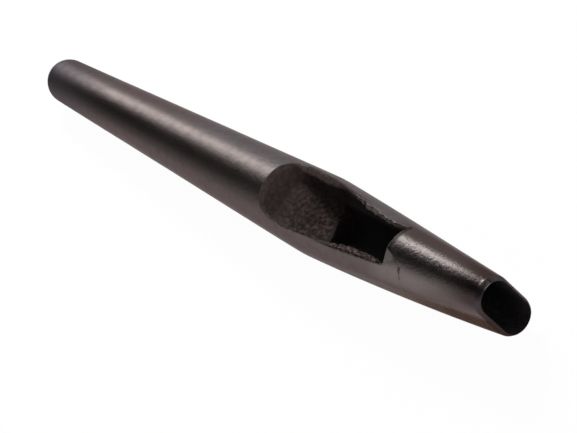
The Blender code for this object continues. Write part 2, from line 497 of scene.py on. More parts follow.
# %% Outside patches
UPPER_REAR = np.linspace(-np.pi / 2, np.pi / 2, REAR_COLUMNS + 1)
UPPER_FRONT = np.linspace(-np.pi / 2, np.pi / 2, LEDGE_COLUMNS + 1)
LOWER = np.linspace(np.pi / 2, 3 * np.pi / 2, REAR_COLUMNS + 1)
PLAIN_RADIUS = 10.0 * MM
BAND_FRONT_X = LEDGE_X + 6.0 * MM
BAND_REAR_X = POCKET_REAR_X - 6.5 * MM
CROWN_ROWS = 6
DOME_ROWS = 24
SHANK_ROWS = 84
SKIN_LOOPS = 20
WALL_LOOPS = 22
SKIN_CROWDING = 2.2
WALL_CROWDING = 2
WALL_CURVE = np.array([1.5, 1.5, 1.0])
LIP_DROP = 0.1
SHOULDER_DROP = 0.35
SMALL_TEAR_DEPTH = 0.2
EDGE_LOOPS = 4
EDGE_FULLNESS = 1.5
FAR_EDGE_LOSS = 0.7
HOLLOW_REACH = 0.25 * MM
BURR_REACH = 0.25 * MM
FAR_MARKS_LENGTH = 4 * MM
NEAR_MARKS_LENGTH = 8 * MM
FILED_FULLNESS = 1.3
FILED_SKIN_REACH = 0.4 * MM
FILED_WALL_REACH = 0.5 * MM
FAR_AWAY = 1.0
VALUES = {"skin": 0.0, "hollow": 0.0, "rim": FAR_AWAY, "edge": 0.0, "burr": 0.0, "filed": 0.0}

patches = []


def add_patch(points, closed, **values):
    """Keep a patch of rows and columns, with the values that the node trees read at each point."""
    grid = points.shape[:2]
    values = {name: np.broadcast_to(values.get(name, usual), grid) for name, usual in VALUES.items()}
    patches.append((points, values, closed))


def plain_tube(x, turn, girth=1.0):
    """The outside before it is shaped: a tube of one radius, narrower only at its closed end."""
    return around_axis(x, girth * PLAIN_RADIUS, turn)


def skin_point(x, turn):
    return around_axis(x, oval_reach(np.sin(turn), np.cos(turn), *skin_sizes(x)), turn)


def shank_patch():
    crown_angle = math.asin(CROWN_DIAMETER / HEAD_DIAMETER)
    dome = np.linspace(crown_angle, np.pi / 2, DOME_ROWS + 1)
    crown_girth = np.linspace(0, math.sin(crown_angle), CROWN_ROWS + 1)[:-1]
    dome_x = DOME_LENGTH * (1 - np.cos(dome) / math.cos(crown_angle))
    shank_x = np.linspace(DOME_LENGTH, BAND_REAR_X, SHANK_ROWS + 1)[1:]
    x = np.concatenate((np.zeros(CROWN_ROWS), dome_x, shank_x))
    girth = np.concatenate((crown_girth, np.sin(dome), np.ones(SHANK_ROWS)))
    turn = np.concatenate((UPPER_REAR, LOWER[1:-1]))
    add_patch(plain_tube(x[:, None], turn, girth[:, None]), True, skin=1)


def band_sides():
    """Where each side station of the rim meets the band's outer edge."""
    share = (side_x - side_x[-1]) / (side_x[0] - side_x[-1])
    return blend(BAND_REAR_X, BAND_FRONT_X, share)


def underside_patch():
    add_patch(plain_tube(band_sides()[:, None], LOWER), False, skin=1)


def marks(length, side):
    """Where one side's lip is torn or filed: it rises over a length and stops at the ledge."""
    rise = smooth_step((loop_x - LIP_FROM_X) / length)
    return rise * smooth_step((LEDGE_X - loop_x) / MM) * side


def rim_patch():
    """Loops on the skin closing in on the rim, then loops down the walls to their feet."""
    edge_x = band_sides()
    outer_x = np.concatenate((np.full(LEDGE_COLUMNS, BAND_FRONT_X), edge_x[:-1],
                              np.full(REAR_COLUMNS, BAND_REAR_X), edge_x[:0:-1]))
    outer_turn = np.concatenate((UPPER_FRONT[:-1], np.full(SIDE_COLUMNS, np.pi / 2),
                                 -UPPER_REAR[:-1], np.full(SIDE_COLUMNS, -np.pi / 2)))
    share = (np.linspace(1, 0, SKIN_LOOPS + 1) ** SKIN_CROWDING)[:, None]
    x = blend(loop_x, outer_x, share)
    turn = blend(np.arctan2(loop_y, loop_z), outer_turn, share)
    rim_line = np.stack((loop_x, loop_y, loop_z), axis=-1)
    skin_rim = np.linalg.norm(skin_point(x, turn) - rim_line, axis=-1)
    down = (np.linspace(0, 1, WALL_LOOPS + 1)[1:] ** WALL_CROWDING)[:, None, None]
    wall = rim_line + (feet - rim_line) * down ** WALL_CURVE
    down = down[..., 0]

    far, near = loop_y > 0, loop_y < 0
    along_side = np.arange(len(loop_x)) >= LEDGE_COLUMNS
    full = swell(loop_x) * along_side
    ragged = tears(loop_x)
    far_reach = FAR_SHOULDER * shoulder(loop_x) * (1 + SMALL_TEAR_DEPTH * ragged)
    far_reach = far_reach + FAR_LIP * full * (1 + TEAR_DEPTH * ragged)
    near_reach = NEAR_LIP * full * (1 + SMALL_TEAR_DEPTH * ragged)
    reach = np.where(far, -far_reach, near_reach) * along_side
    crest = np.where(far, blend(LIP_DROP, SHOULDER_DROP, shoulder(loop_x)), LIP_DROP)
    share_down = down / crest
    wall[..., 1] += reach * share_down * np.exp(1 - share_down) * (1 - down)

    rows = np.arange(SKIN_LOOPS + 1 + WALL_LOOPS)[:, None]
    is_skin = rows <= SKIN_LOOPS
    rim = np.concatenate((skin_rim, np.linalg.norm(wall - rim_line, axis=-1)))
    edge = np.clip(EDGE_FULLNESS - np.abs(rows - SKIN_LOOPS) / EDGE_LOOPS, 0, 1)
    edge = edge * (1 - FAR_EDGE_LOSS * full * far)
    hollow = np.where(is_skin, 0, smooth_step((rim - full * near * NEAR_LIP) / HOLLOW_REACH))
    far_marks, near_marks = marks(FAR_MARKS_LENGTH, far), marks(NEAR_MARKS_LENGTH, near)
    raised = far_marks * (0.5 + 0.5 * tears(loop_x)) * np.exp(-(rim / BURR_REACH) ** 2)
    filed_skin = smooth_step(FILED_FULLNESS - rim / FILED_SKIN_REACH)
    filed = near_marks * np.where(is_skin, filed_skin, 1 - hollow)
    filed = filed + far_marks * np.exp(-(rim / FILED_WALL_REACH) ** 2) * ~is_skin
    points = np.concatenate((plain_tube(x, turn), wall))
    add_patch(points, True, skin=is_skin, hollow=hollow, rim=rim, edge=edge, burr=raised, filed=filed)


for make in (shank_patch, underside_patch, rim_patch):
    make()
print(len(patches), "patches of the outside")

# %% [markdown]
# ## Patches of the inside
# Inside the pocket, each section hangs between its two wall feet: a squarish U for the ramp, and
# past the ramp's foot the open half of the bore. The bore itself goes on through the tube to
# the mouth, where a narrow land and the outer bevel turn it into a cutting edge.

# %% Inside patches
TUBE_ROWS = 40
BEVEL_ROWS = 6
LAND_ROWS = 3
BORE_ROWS = 48
TUBE_CROWDING = 1.7
BORE_CROWDING = 2
BORE_BLEND_ROWS = 4
EDGE_ROWS = 2
STEP_AT_FOOT = 0.35 * MM
STEP_ROUNDING = 0.3 * MM
FOOT_SLANT = 0.35
SLANT_REACH = 3 * MM
SEAM_POWER = 6
LEAST_DEPTH = 0.01 * MM
CURL_FROM_X = POCKET_WIDEST_X + 1 * MM
REAR_BLEND = 1.2 * MM


def squared_reach(across, down, half_width, depth):
    """As oval_reach, for the U-shaped section of the slot."""
    power = POCKET_WALL_SQUARENESS
    return ((np.abs(across) / half_width) ** power + (np.abs(down) / depth) ** power) ** (-1 / power)


def pocket_patch():
    """Sections across the pocket from wall foot to wall foot, which end as the rear arc."""
    corner = LEDGE_COLUMNS + SIDE_COLUMNS
    ends = feet[LEDGE_COLUMNS:corner + 1]
    arc = feet[corner:corner + REAR_COLUMNS + 1]
    across, down = np.cos(LOWER - np.pi / 2), np.sin(LOWER - np.pi / 2)
    end_x, half_width, height = (ends[:, axis][:, None] for axis in range(3))
    curl = smooth_step((CURL_FROM_X - end_x) / (CURL_FROM_X - end_x[-1]))
    x = end_x + curl * (arc[:, 0] - arc[0, 0])
    depth = height - pocket_floor(x)
    slot = squared_reach(across, down, half_width, np.maximum(depth, LEAST_DEPTH)) * (depth > 0)
    opened = smooth_step((x - BORE_END_X) / STEP_AT_FOOT)
    bore = opened * oval_reach(across, down, bore_half_width(x), height + MOUTH_HEIGHT / 2)
    both = soft_max(slot, bore, STEP_ROUNDING)
    far = np.where((slot > 0) & (bore > 0), both, np.maximum(slot, bore))
    at_seam = np.abs(across) ** SEAM_POWER
    far = far * (1 + (half_width / far[:, :1] - 1) * at_seam)
    points = np.stack((x, far * across, height - far * down), axis=-1)
    at_foot = np.exp(-((x - RAMP_FOOT_X) / SLANT_REACH) ** 2) * (1 - at_seam)
    points[..., 0] -= FOOT_SLANT * points[..., 1] * at_foot
    merge = smooth_step((end_x[-1] + REAR_BLEND - end_x) / REAR_BLEND)[..., None]
    points = blend(points, arc, merge)
    points[:, 0] = ends
    points[:, -1] = ends * np.array([1, -1, 1])
    add_patch(points, False, hollow=1)


def tube_patch():
    """The tube's outside with its bevel, the land of the cutting edge, and the bore to the ledge."""
    turn = np.concatenate((UPPER_FRONT, LOWER[1:-1]))
    tube_x = blend(BEVEL_X, BAND_FRONT_X, np.linspace(1, 0, TUBE_ROWS + 1) ** TUBE_CROWDING)
    bevel_x = np.linspace(BEVEL_X, TOOL_LENGTH, BEVEL_ROWS + 1)[1:]
    outside = plain_tube(np.concatenate((tube_x, bevel_x))[:, None], turn)
    rim, mouth = skin_point(TOOL_LENGTH, turn), bore_ring(TOOL_LENGTH, turn)
    land = blend(rim, mouth, np.linspace(0, 1, LAND_ROWS + 1)[1:, None, None])
    back_x = TOOL_LENGTH - TUBE_LENGTH * np.linspace(0, 1, BORE_ROWS + 1)[1:] ** BORE_CROWDING
    edge_row = TUBE_ROWS + BEVEL_ROWS
    rows = np.arange(edge_row + 1 + LAND_ROWS + BORE_ROWS)[:, None]
    lips = np.minimum(np.abs(rows - edge_row), np.abs(rows - edge_row - LAND_ROWS))
    points = np.concatenate((outside, land, bore_ring(back_x[:, None], turn)))
    inside = np.clip((rows - edge_row - LAND_ROWS) / BORE_BLEND_ROWS, 0, 1)
    edge = np.clip(1 - lips / EDGE_ROWS, 0, 1)
    add_patch(points, True, skin=rows <= edge_row, hollow=inside, edge=edge)


for make in (pocket_patch, tube_patch):
    make()
point_count = sum(points.shape[0] * points.shape[1] for points, _, _ in patches)
print(len(patches), "patches,", point_count, "points")

# %% [markdown]
# ## Joining the patches
# The patches become one mesh, welded where they meet. The weld is the test of the plan: if no open
# edge is left, all five patches fit. Every point also remembers its place on the plain tube,
# because grinding marks run round the tool and not across the table.

# %% Join the patches
WELD = 0.001 * MM


def quads(rows, columns, closed, start):
    """Corners of the quads between neighbouring rows."""
    row = np.arange(rows - 1)[:, None]
    column = np.arange(columns if closed else columns - 1)
    following = (column + 1) % columns
    corners = (row * columns + column, row * columns + following,
               (row + 1) * columns + following, (row + 1) * columns + column)
    return start + np.stack(corners, axis=-1).reshape(-1, 4)


def join_patches(name):
    """One mesh of all patches, welded where they meet, with its faces turned outwards."""
    points = np.concatenate([grid.reshape(-1, 3) for grid, _, _ in patches])
    faces = []
    start = 0
    for grid, _, closed in patches:
        faces.append(quads(*grid.shape[:2], closed, start))
        start += grid.shape[0] * grid.shape[1]
    mesh = bpy.data.meshes.new(name)
    mesh.from_pydata(points, [], np.concatenate(faces))
    for key in VALUES:
        values = np.concatenate([value[key].ravel() for _, value, _ in patches])
        mesh.attributes.new(key, 'FLOAT', 'POINT').data.foreach_set("value", values.astype(np.float32))
    turn = np.arctan2(points[:, 1], points[:, 2])
    plain = plain_tube(points[:, 0], turn).astype(np.float32)
    mesh.attributes.new("plain", 'FLOAT_VECTOR', 'POINT').data.foreach_set("vector", plain.ravel())
    shape = bmesh.new()
    shape.from_mesh(mesh)
    bmesh.ops.remove_doubles(shape, verts=shape.verts, dist=WELD)
    bmesh.ops.recalc_face_normals(shape, faces=shape.faces)
    open_edges = sum(not edge.is_manifold for edge in shape.edges)
    shape.to_mesh(mesh)
    shape.free()
    print(name, "has", len(mesh.polygons), "faces and", open_edges, "open edges")
    return mesh


body = add_to_scene("forged_punch", join_patches("forged_punch"))

# %% [markdown]
# ## The steel
# Tool steel that has been hardened and polished is a dark mirror with a satin grain: it takes
# nearly all its tones from the room. Its colour shifts: bluish at the head, brown and darker under
# the tip, and bright where it is worn. Painted reflection makes the far side lighter and bluer, and
# painted shade darkens the tube's far top and the top at the mouth. The pocket keeps the black scale
# of the forge, which is an oxide and hardly metallic. It is brown on the far wall's shoulder.
# Painted light brightens its upper walls, the ramp's rear and the torn far wall, and painted shade
# darkens it under the shoulder, in the well and in the bore.
# First come the colours.

# %% Steel colours
POLISHED = (0.130, 0.109, 0.107)
# Brown, darker colour on the underside of the tip
TEMPERED = (0.050, 0.030, 0.023)
HEAD_BLUE = (0.112, 0.099, 0.112)
# Painted reflection: the far side from mid-shank on is lighter and bluer
SHANK_BLUE = (0.145, 0.136, 0.143)
RUBBED = (0.175, 0.147, 0.145)
# Dark for random blotches, and as painted shade on the tube's far top
BLUED = (0.084, 0.066, 0.064)
# Dull where filed, and painted shade on the top at the mouth
DULLED = (0.052, 0.040, 0.038)
BEVELLED = (0.058, 0.047, 0.050)
EDGE_TINT = (0.52, 0.47, 0.465)
TEMPER_TINT = (0.42, 0.355, 0.33)
# Dark scale, and painted shade under the far wall's shoulder
SCALE_DARK = (0.022, 0.014, 0.014)
SCALE_LIGHT = (0.090, 0.066, 0.063)
# Painted light: lighter scale on the upper walls and at the ramp's rear
SCALE_WALL = (0.12, 0.090, 0.085)
SHOULDER_BROWN = (0.022, 0.012, 0.008)
# Torn metal on the far wall, painted lighter as if lit
TORN = (0.09, 0.068, 0.062)
FILINGS = (0.026, 0.019, 0.017)
# Painted shade: dark in the well past the ramp's foot and down the bore
SOOT = (0.027, 0.022, 0.023)
LEDGE_BROWN = (0.036, 0.028, 0.026)
BURNISHED = (0.34, 0.295, 0.28)


def step_up(field, start, end):
    """A smooth rise from 0 to 1 as the field goes from start to end."""
    return field_from(field.tree, "ShaderNodeMapRange", {"interpolation_type": 'SMOOTHSTEP'},
                      Value=field, From_Min=start, From_Max=end)


def noise(tree, place, size, detail=2.0, stretch=None, seed=0.0):
    """Noise from 0 to 1 with features of a size in metres, drawn out along axes by stretch."""
    if stretch:
        drawn = new_node(tree, "ShaderNodeVectorMath", {"operation": 'MULTIPLY'}, Vector=place)
        drawn.inputs[1].default_value = stretch
        place = Field(drawn.outputs[0])
    return field_from(tree, "ShaderNodeTexNoise", {"noise_dimensions": '4D'},
                      Vector=place, W=seed, Scale=1 / size, Detail=detail)


def mixed(tree, share, first, second):
    """A colour between two, which may be colours or fields."""
    node = new_node(tree, "ShaderNodeMix", {"data_type": 'RGBA'})
    feed(node.inputs["Factor"], share)
    for slot, colour in ((node.inputs[6], first), (node.inputs[7], second)):
        feed(slot, colour if isinstance(colour, Field) else (*colour, 1.0))
    return Field(node.outputs[2])


def layered(tree, colour, layers):
    """One colour after another laid over the first, each by its share."""
    for share, layer in layers:
        colour = mixed(tree, share, colour, layer)
    return colour


def new_material(name):
    """A material with its tree and its main shader."""
    material = bpy.data.materials.new(name)
    material.use_nodes = True
    tree = material.node_tree
    return material, tree, tree.nodes["Principled BSDF"]


print("colours and mixing ready")

# %% [markdown]
# ## Where the steel changes
# A mask says how much of a colour shows at a point, and is a product of smooth steps. The steps are
# listed by the measure that they rise along, each with where it starts and where it is full, in
# millimetres. The measures are x along the tool, across and up on the plain tube, near and under
# as the opposite ways, aside on the table, and the distance from the rim, the lap or the nick.

# %% Steel masks
LAP_X = 117.1 * MM
LAP_WANDER = 0.9 * MM
NICK_Y = 0.7 * MM
UNDER_TILT = 0.6
TEMPER_LEAST = 0.7
TEMPER_CLOUDED = 0.7
EDGE_DULLED = 0.6
WALL_LEAST = 0.2
WALL_CRUSTED = 0.9
STEPS = {
    "x": {
        "past_crown": (0.3, 1.6), "past_head": (2, 30), "on_shank": (40, 65), "coarser": (58, 82),
        "past_rear": (82, 88), "shoulder": (82, 86), "shaded": (83, 86), "past_shoulder": (98, 106),
        "past_ramp": (95, 101), "past_foot": (RAMP_FOOT_X / MM - 0.8, RAMP_FOOT_X / MM + 0.2),
        "at_ledge": (LEDGE_X / MM - 0.3, LEDGE_X / MM), "on_tube": (108, 116),
        "rubbed": (108, 114), "past_rubbed": (119, 127), "to_tip": (106, 126), "to_mouth": (124, 132),
        "at_nick": (132.2, 132.6), "on_bevel": (BEVEL_X / MM - 0.1, BEVEL_X / MM + 0.05),
        "at_edge": (TOOL_LENGTH / MM - 0.15, TOOL_LENGTH / MM - 0.02),
    },
    "across": {"far_shank": (3, 5.5), "far_top": (2, 4), "past_far_top": (6, 8), "torn_side": (0, 1)},
    "near": {"near_side": (3, 5), "lap_start": (4.0, 4.6), "lap_end": (6.8, 7.4)},
    "up": {"near_top": (2.5, 5), "on_top": (7, 9)},
    "under": {"under": (4, 10)},
    "aside": {
        "off_facet": (-2, -1), "past_near_edge": (1.5, 2.5), "far_half": (2, 3),
        "shaded_side": (2.2, 3.2),
    },
    "rim": {
        "past_wear": (0.04, 0.2), "past_brown": (0.3, 0.8), "past_torn": (0.4, 1.2),
        "past_ledge": (0.5, 1.1), "deep": (0.8, 2.2), "past_wall": (1.0, 1.9), "shaded_depth": (1.2, 2),
    },
    "from_lap": {"past_lap": (0.05, 0.17)},
    "from_nick": {"past_nick": (0.3, 0.9)},
}
NOISES = {"grain": (0.45, 3.0), "cloud": (5, 3.0), "crust": (0.6, 5.0), "mottle": (1.5, 3.0)}
PECK_SIZE = 0.32 * MM
PECK_SEED = 3.0
GROUND_SIZE = 0.25 * MM
GROUND_STRETCH = (1.0, 0.06, 0.06)


def steel_masks(tree):
    """All values, noises and masks that the steel is mixed by, under their names."""
    def read(name, output="Fac"):
        return field_from(tree, "ShaderNodeAttribute", {"attribute_name": name}, output)

    mask = SimpleNamespace(**{name: read(name) for name in ("hollow", "rim", "burr", "filed", "facet")})
    plain = read("plain", "Vector")
    x, across, up = axes(tree, plain)
    place = field_from(tree, "ShaderNodeTexCoord", output="Object")
    aside = axes(tree, place)[1]
    for name, (size, detail) in NOISES.items():
        setattr(mask, name, noise(tree, place, size * MM, detail))
    mask.ground = noise(tree, plain, GROUND_SIZE, stretch=GROUND_STRETCH)
    mask.pecked = noise(tree, place, PECK_SIZE, 1.0, seed=PECK_SEED)

    near = across * -1
    measures = {"x": x, "across": across, "up": up, "near": near, "aside": aside, "rim": mask.rim,
                "under": near - up * UNDER_TILT, "from_nick": abs(aside - NICK_Y),
                "from_lap": abs(x - LAP_X - (mask.ground - 0.5) * LAP_WANDER)}
    step = SimpleNamespace()
    for measure, steps in STEPS.items():
        for name, (start, full) in steps.items():
            setattr(step, name, step_up(measures[measure], start * MM, full * MM))

    # Some steps are masks by themselves
    for name in ("coarser", "past_ramp", "on_tube", "on_bevel"):
        setattr(mask, name, getattr(step, name))
    mask.at_head = 1 - step.past_head
    mask.struck = 1 - step.past_crown
    # painted light at the ramp's rear
    mask.at_rear = 1 - step.past_rear
    mask.at_rim = 1 - step.past_wear
    # painted reflection: a lighter, bluer far side
    mask.far_shank = step.on_shank * step.far_shank
    # painted shade: the tube's far top is darker
    mask.blued_top = step.on_tube * (step.far_top * (1 - step.past_far_top))
    mask.near_tube = step.rubbed * (1 - step.past_rubbed) * step.near_side * step.near_top
    # painted shade: the top at the mouth is darker, so the highlight fades
    mask.at_mouth = step.to_mouth * step.on_top
    # brown, darker underside of the tip
    mask.temper = (step.to_tip * step.under * (TEMPER_LEAST + mask.cloud * TEMPER_CLOUDED)).at_most(1.0)
    mask.nick = step.at_nick * (1 - step.past_nick) * step.on_top
    mask.lap = (1 - step.past_lap) * step.lap_start * (1 - step.lap_end)
    mask.far_wall = step.far_half * step.shoulder * (1 - step.past_shoulder)
    mask.brown_rim = mask.far_wall * (1 - step.past_brown)
    mask.ledge_edge = step.at_ledge * (1 - step.past_ledge) * (1 - mask.facet) * step.off_facet
    mask.dull_edge = step.at_edge * EDGE_DULLED * (1 - step.past_near_edge)
    # painted light: the upper walls are lighter near the rim, broken by the crust
    mask.wall = (1 - step.past_wall) * (WALL_LEAST + mask.crust * WALL_CRUSTED)
    # painted shade deep in the well and the bore
    mask.sooty = step.past_foot * step.deep
    # painted shade under the far wall's shoulder
    mask.under_shoulder = step.shaded_side * step.shaded * step.shaded_depth
    # torn far wall, partly painted light
    mask.torn_wall = step.past_ramp * step.torn_side * (1 - step.past_torn)
    return mask


print(sum(len(steps) for steps in STEPS.values()), "steps along", len(STEPS), "measures")

# %% [markdown]
# ## Mixing the steel
# The skin starts as polished steel and takes one colour after another, and so does the scale. The
# hollow value then says which of the two a point shows. Roughness is a plain sum, and a bump adds
# the grain that is finer than the mesh.

# %% Steel
BLOTCHES = (0.35, 0.8)
FLECKS = (0.45, 0.65)
PITS = (0.5, 0.62)
CRUST_LIGHT = (0.35, 0.75)
CRUST_TORN = (0.35, 0.6)
WORN_RIM = 0.72
WORN_BURR = 0.4
WORN_FACET = 0.75
WORN_CROWN = 0.6
BLOTCHED = 0.4
BLOTCHED_LESS_ON_TUBE = 0.3
FILED_DULL = 0.5
LEDGE_LEAST = 0.6
LEDGE_MOTTLED = 0.6
LAP_DARK = 0.85
REAR_BRIGHT = 0.4
SCALE_OXIDE = 0.85
ROUGHNESS = 0.20
ROUGHNESS_OF = {"on_tube": -0.06, "grain": 0.08, "cloud": 0.08, "mottle": 0.12, "at_head": 0.2,
                "filed": 0.2, "facet": 0.2, "ledge_edge": 0.15, "hollow": 0.35}
BUMP_DEPTH = 0.04 * MM
GRAIN_DEPTH = 0.8
GRAIN_COARSER = 0.6
GRAIN_ON_SCALE = 2
GROUND_DEPTH = 0.5
LAP_DEPTH = 2


def skin_colour(tree, mask):
    """The polished outside, with its tints, its wear and its marks, and painted reflection and shade."""
    worn = mask.at_rim * (mask.past_ramp - mask.filed).at_least(0.0) * mask.grain
    worn = (worn * WORN_RIM + mask.burr * mask.grain * WORN_BURR) * step_up(mask.mottle, *FLECKS)
    worn = worn + mask.facet * WORN_FACET + mask.struck * WORN_CROWN + mask.nick * mask.grain
    ledge = mask.ledge_edge * (LEDGE_LEAST + mask.mottle * LEDGE_MOTTLED)
    layers = (
        # painted reflection on the far side
        (mask.far_shank, SHANK_BLUE),
        (mask.at_head, HEAD_BLUE),
        # painted shade on the tube's far top
        (mask.blued_top, BLUED),
        (mask.near_tube, RUBBED),
        (step_up(mask.mottle, *BLOTCHES) * (BLOTCHED - mask.on_tube * BLOTCHED_LESS_ON_TUBE), BLUED),
        # painted shade on the top at the mouth
        (mask.at_mouth, DULLED),
        (mask.temper, TEMPERED),
        (mask.on_bevel, BEVELLED),
        (mask.filed * FILED_DULL, DULLED),
        (mask.brown_rim, LEDGE_BROWN),
        (ledge.at_least(mask.dull_edge), LEDGE_BROWN),
        (worn.at_most(1.0), BURNISHED),
        (mask.filed * (1 - step_up(mask.pecked, *PITS)), FILINGS),
        (mask.lap * LAP_DARK, SCALE_DARK),
    )
    return layered(tree, POLISHED, layers)


def scale_colour(tree, mask):
    """The black scale of the pocket and the bore, with painted light on its walls and painted shade in
    its depths.
    """
    # Painted light on the walls, but brown on the far wall's shoulder
    bright = mixed(tree, mask.far_wall, SCALE_WALL, SHOULDER_BROWN)
    layers = (
        (step_up(mask.crust, *CRUST_LIGHT), SCALE_LIGHT),
        (mask.wall.at_least(mask.at_rear * REAR_BRIGHT).at_most(1.0), bright),
        # painted shade under the shoulder
        (mask.under_shoulder, SCALE_DARK),
        # painted shade in the well and the bore
        (mask.sooty, SOOT),
        # torn metal, painted lighter as if lit
        (mask.torn_wall * step_up(mask.crust, *CRUST_TORN), TORN),
    )
    return layered(tree, SCALE_DARK, layers)


def forged_steel():
    material, tree, shader = new_material("forged_steel_satin")
    mask = steel_masks(tree)
    colour = mixed(tree, mask.hollow, skin_colour(tree, mask), scale_colour(tree, mask))
    feed(shader.inputs["Base Color"], colour)
    feed(shader.inputs["Metallic"], 1 - mask.hollow * SCALE_OXIDE)
    roughness = ROUGHNESS
    for name, weight in ROUGHNESS_OF.items():
        roughness = roughness + getattr(mask, name) * weight
    feed(shader.inputs["Roughness"], roughness)
    feed(shader.inputs["Specular Tint"], mixed(tree, mask.temper, EDGE_TINT, TEMPER_TINT))
    grain_depth = GRAIN_DEPTH + mask.coarser * GRAIN_COARSER
    grain_depth = grain_depth + mask.hollow * (1 - mask.sooty) * GRAIN_ON_SCALE
    ground_height = mask.ground * mask.on_tube * (1 - mask.hollow) * GROUND_DEPTH
    height = mask.grain * grain_depth + ground_height + mask.lap * -LAP_DEPTH
    bump = field_from(tree, "ShaderNodeBump", Strength=1.0, Distance=BUMP_DEPTH, Height=height)
    feed(shader.inputs["Normal"], bump)
    return material


steel = forged_steel()
print("steel with", len(steel.node_tree.nodes), "nodes")

# %% [markdown]
# ## Forging it with nodes
# One tree shapes the sheet. It brings each skin point to where the section rules put it, by calling
# the same functions as above with sockets for numbers. It bends the tool by a hair, because the
# real one isn't quite straight, files a facet on the corner of the ledge, rounds the edges, and
# raises scale, waves, burr and file marks along the normal.

# %% Forging tree
BEND_ALONG = (0.0, 0.35, 0.68, 0.84, 1.0)
BEND_SIDEWAYS = (0.116, -0.064, -0.207, -0.125, 0.300)
BEND_UPWARDS = (0.0, 0.0, 0.0, -0.06, -0.24)
FACET_CORNERS = ((113.5, -0.9, 6.02), (113.66, -3.23, 4.88), (115.72, -2.42, 5.39))
FACET_SEEN = 0.03 * MM
FILE_FROM_X = LEDGE_X - 0.5 * MM
FILE_FULL_X = LEDGE_X - 0.1 * MM
LEAST_GIRTH = 0.0001
EDGE_BLURS = 3
SETTINGS = {"Scale Depth": 0.14 * MM, "Scale Size": 0.70 * MM, "Wave Depth": 0.03 * MM,
            "Wave Length": 9 * MM, "Burr Height": 0.09 * MM, "File Depth": 0.04 * MM,
            "File Size": 0.40 * MM, "Seed": float(SEED)}


def moved(tree, geometry, **inputs):
    return field_from(tree, "GeometryNodeSetPosition", Geometry=geometry, **inputs)


def vector(tree, x=0.0, y=0.0, z=0.0):
    return field_from(tree, "ShaderNodeCombineXYZ", X=x, Y=y, Z=z)


def curve_through(shares, offsets, share):
    """The curve through five points, as a sum that nodes can work out."""
    factors = np.polyfit(shares, np.array(offsets) * MM, len(shares) - 1)
    total = float(factors[0])
    for factor in factors[1:]:
        total = share * total + float(factor)
    return total


def skin_by_rule(tree, place):
    """Where a point of the plain tube lies on the finished outside."""
    x, y, z = axes(tree, place)
    girth = ((y * y + z * z) ** 0.5 / PLAIN_RADIUS).at_least(LEAST_GIRTH)
    across, up = y / girth / PLAIN_RADIUS, z / girth / PLAIN_RADIUS
    far = girth * oval_reach(across, up, *skin_sizes(x))
    return vector(tree, x, far * across, far * up)


def filed_off(tree, place):
    """How far a file takes a point down to the plane through the facet's corners, and that way."""
    corners = np.array(FACET_CORNERS) * MM
    square = np.cross(corners[2] - corners[0], corners[1] - corners[0])
    square = square / np.linalg.norm(square)
    square = square * np.sign(square[2])
    x, y, z = axes(tree, place)
    above = x * square[0] + y * square[1] + z * square[2] - float(corners[0] @ square)
    cut = above.at_least(0.0) * step_up(x, FILE_FROM_X, FILE_FULL_X)
    return cut, vector(tree, *(cut * float(-part) for part in square))


def forging_tree():
    tree = bpy.data.node_groups.new("forge_the_punch", 'GeometryNodeTree')
    tree.interface.new_socket("Geometry", in_out='INPUT', socket_type='NodeSocketGeometry')
    tree.interface.new_socket("Geometry", in_out='OUTPUT', socket_type='NodeSocketGeometry')
    for name in SETTINGS:
        tree.interface.new_socket(name, in_out='INPUT', socket_type='NodeSocketFloat')
    tree.interface.new_socket("Steel", in_out='INPUT', socket_type='NodeSocketMaterial')
    group_input = tree.nodes.new("NodeGroupInput")
    given = {socket.name: Field(socket) for socket in group_input.outputs if socket.name}
    place = field_from(tree, "GeometryNodeInputPosition")
    value = {}
    for name in VALUES:
        value[name] = field_from(tree, "GeometryNodeInputNamedAttribute", Name=name)

    shape = moved(tree, given["Geometry"], Selection=value["skin"], Position=skin_by_rule(tree, place))
    cut, stroke = filed_off(tree, place)
    shape = field_from(tree, "GeometryNodeStoreNamedAttribute", {"data_type": 'FLOAT'},
                       Geometry=shape, Name="facet", Value=step_up(cut, 0.0, FACET_SEEN))
    shape = moved(tree, shape, Offset=stroke)
    share = axes(tree, place)[0] / TOOL_LENGTH
    sideways = curve_through(BEND_ALONG, BEND_SIDEWAYS, share)
    upwards = curve_through(BEND_ALONG, BEND_UPWARDS, share)
    shape = moved(tree, shape, Offset=vector(tree, 0.0, sideways, upwards))

    blur = new_node(tree, "GeometryNodeBlurAttribute", {"data_type": 'FLOAT_VECTOR'},
                    Iterations=EDGE_BLURS, Weight=value["edge"])
    feed(next(slot for slot in blur.inputs if slot.enabled and slot.name == "Value"), place)
    rounded = Field(next(slot for slot in blur.outputs if slot.enabled))
    shape = moved(tree, shape, Position=rounded)

    seed = given["Seed"]
    scale = noise(tree, place, given["Scale Size"], 3.0, seed=seed) - 0.5
    wave = noise(tree, place, given["Wave Length"], 1.0, seed=seed) - 0.5
    filed = noise(tree, place, given["File Size"], 1.0, seed=seed) - 0.5
    lift = (value["hollow"] * scale * given["Scale Depth"] * 2
            + (1 - value["hollow"]) * wave * given["Wave Depth"]
            + value["burr"] * given["Burr Height"]
            + value["filed"] * filed * given["File Depth"] * 2)
    normal = field_from(tree, "GeometryNodeInputNormal")
    push = field_from(tree, "ShaderNodeVectorMath", {"operation": 'SCALE'}, Vector=normal, Scale=lift)
    shape = moved(tree, shape, Offset=push)

    shape = field_from(tree, "GeometryNodeRealizeInstances", Geometry=shape)
    dressed = new_node(tree, "GeometryNodeSetMaterial", Geometry=shape, Material=given["Steel"])
    tree.links.new(dressed.outputs[0], tree.nodes.new("NodeGroupOutput").inputs[0])
    return tree


